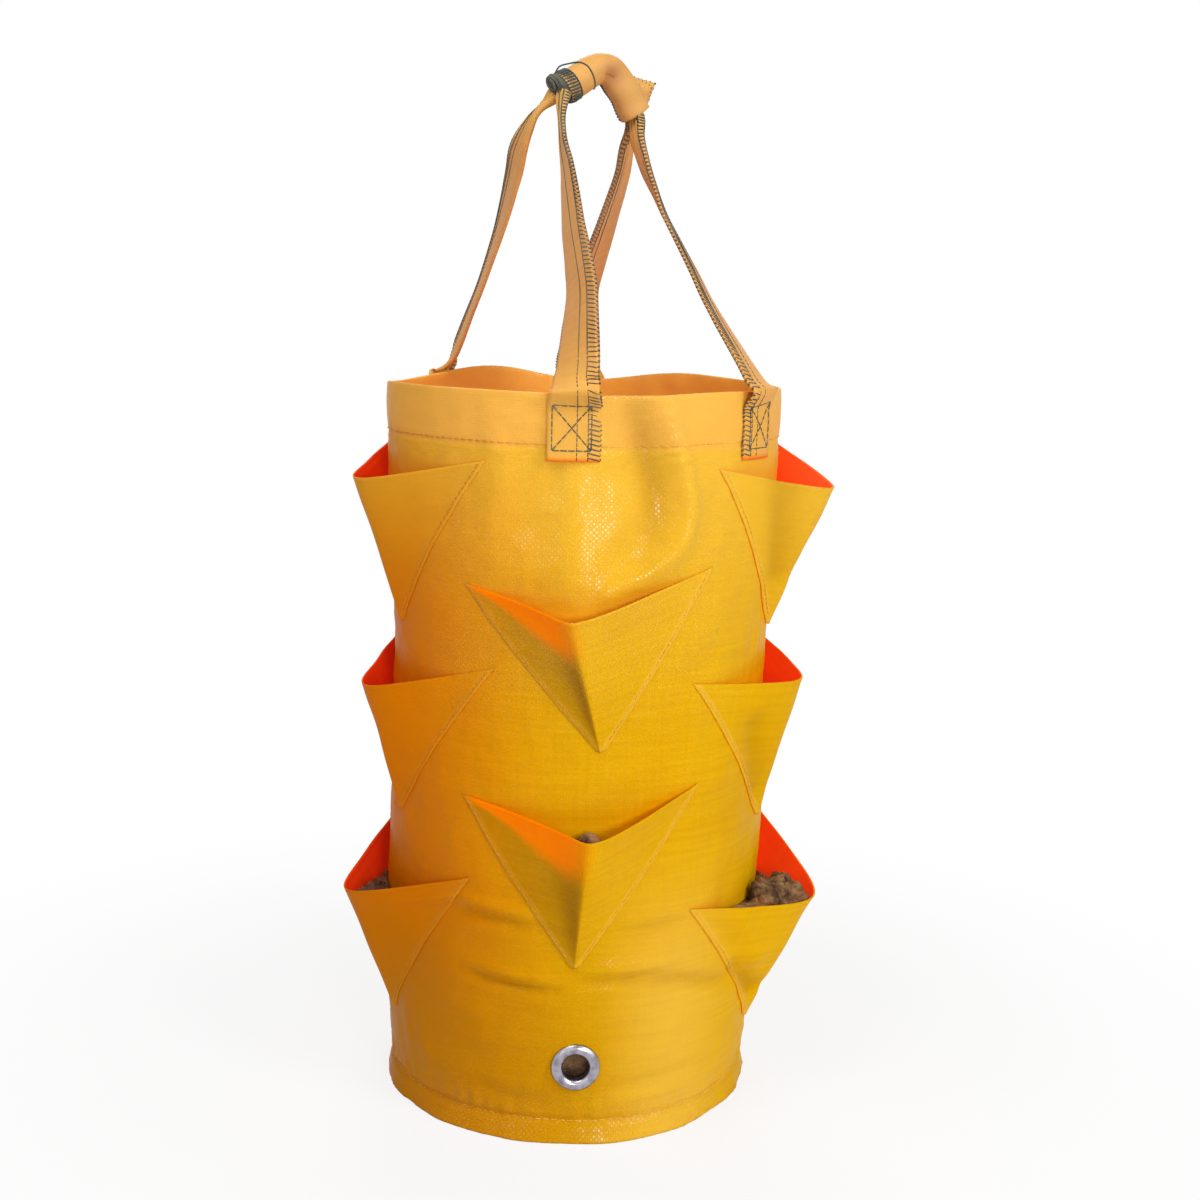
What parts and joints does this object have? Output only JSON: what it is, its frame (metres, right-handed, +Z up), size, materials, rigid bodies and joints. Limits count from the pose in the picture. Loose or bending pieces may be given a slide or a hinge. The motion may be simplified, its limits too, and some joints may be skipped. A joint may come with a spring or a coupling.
{
  "type": "hanging grow bag",
  "caption": "Tall round fabric planter with staggered triangular side pockets, a drain eyelet and two strap handles gathered in a hand wrap for hanging.",
  "frame": {"origin": "on the axis of the bag, level with the lower edge that it stands on", "axes": "+Z up along the bag, -Y towards the eyelet and the front pockets, +X to the right seen from the front"},
  "size_m": [0.2286, 0.2416, 0.517],
  "materials": {
    "yellow_fabric": "laminated woven polyethylene, semi-gloss",
    "strap_fabric": "folded woven polyethylene, satin",
    "thread": "dark polyester thread",
    "nickel": "polished nickel plate",
    "soil": "loose crumbly potting soil"
  },
  "bodies": {
    "bag": {"side_wall": "yellow_fabric", "rim_hem": "yellow_fabric", "side_seam_strip": "yellow_fabric", "base_panel": "yellow_fabric", "front_upper_pocket": "yellow_fabric", "front_lower_pocket": "yellow_fabric", "left_upper_pocket": "yellow_fabric", "left_middle_pocket": "yellow_fabric", "left_lower_pocket": "yellow_fabric", "right_upper_pocket": "yellow_fabric", "right_middle_pocket": "yellow_fabric", "right_lower_pocket": "yellow_fabric", "back_upper_pocket": "yellow_fabric", "back_lower_pocket": "yellow_fabric", "front_strap_tab": "strap_fabric", "right_strap_tab": "strap_fabric", "back_strap_tab": "strap_fabric", "left_strap_tab": "strap_fabric", "tab_stitching": "thread", "eyelet": "nickel", "eyelet_washer": "nickel", "soil_fill": "soil", "front_pocket_soil": "soil", "left_pocket_soil": "soil", "right_pocket_soil": "soil", "back_pocket_soil": "soil"},
    "front_handle": {"front_handle_strap": "strap_fabric", "hand_wrap": "strap_fabric", "wrap_binding": "thread"},
    "rear_handle": {"rear_handle_strap": "strap_fabric"}
  },
  "joints": [
    {"name": "front_handle_swing", "type": "hinge", "parent": "bag", "child": "front_handle", "pos_m": [0.03573, -0.07841, 0.3635], "axis": [0.91, 0.4147, 0], "range_deg": [0, 110]},
    {"name": "rear_handle_swing", "type": "hinge", "parent": "bag", "child": "rear_handle", "pos_m": [-0.03043, 0.08361, 0.3635], "axis": [-0.9397, -0.342, 0], "range_deg": [0, 110]}
  ]
}
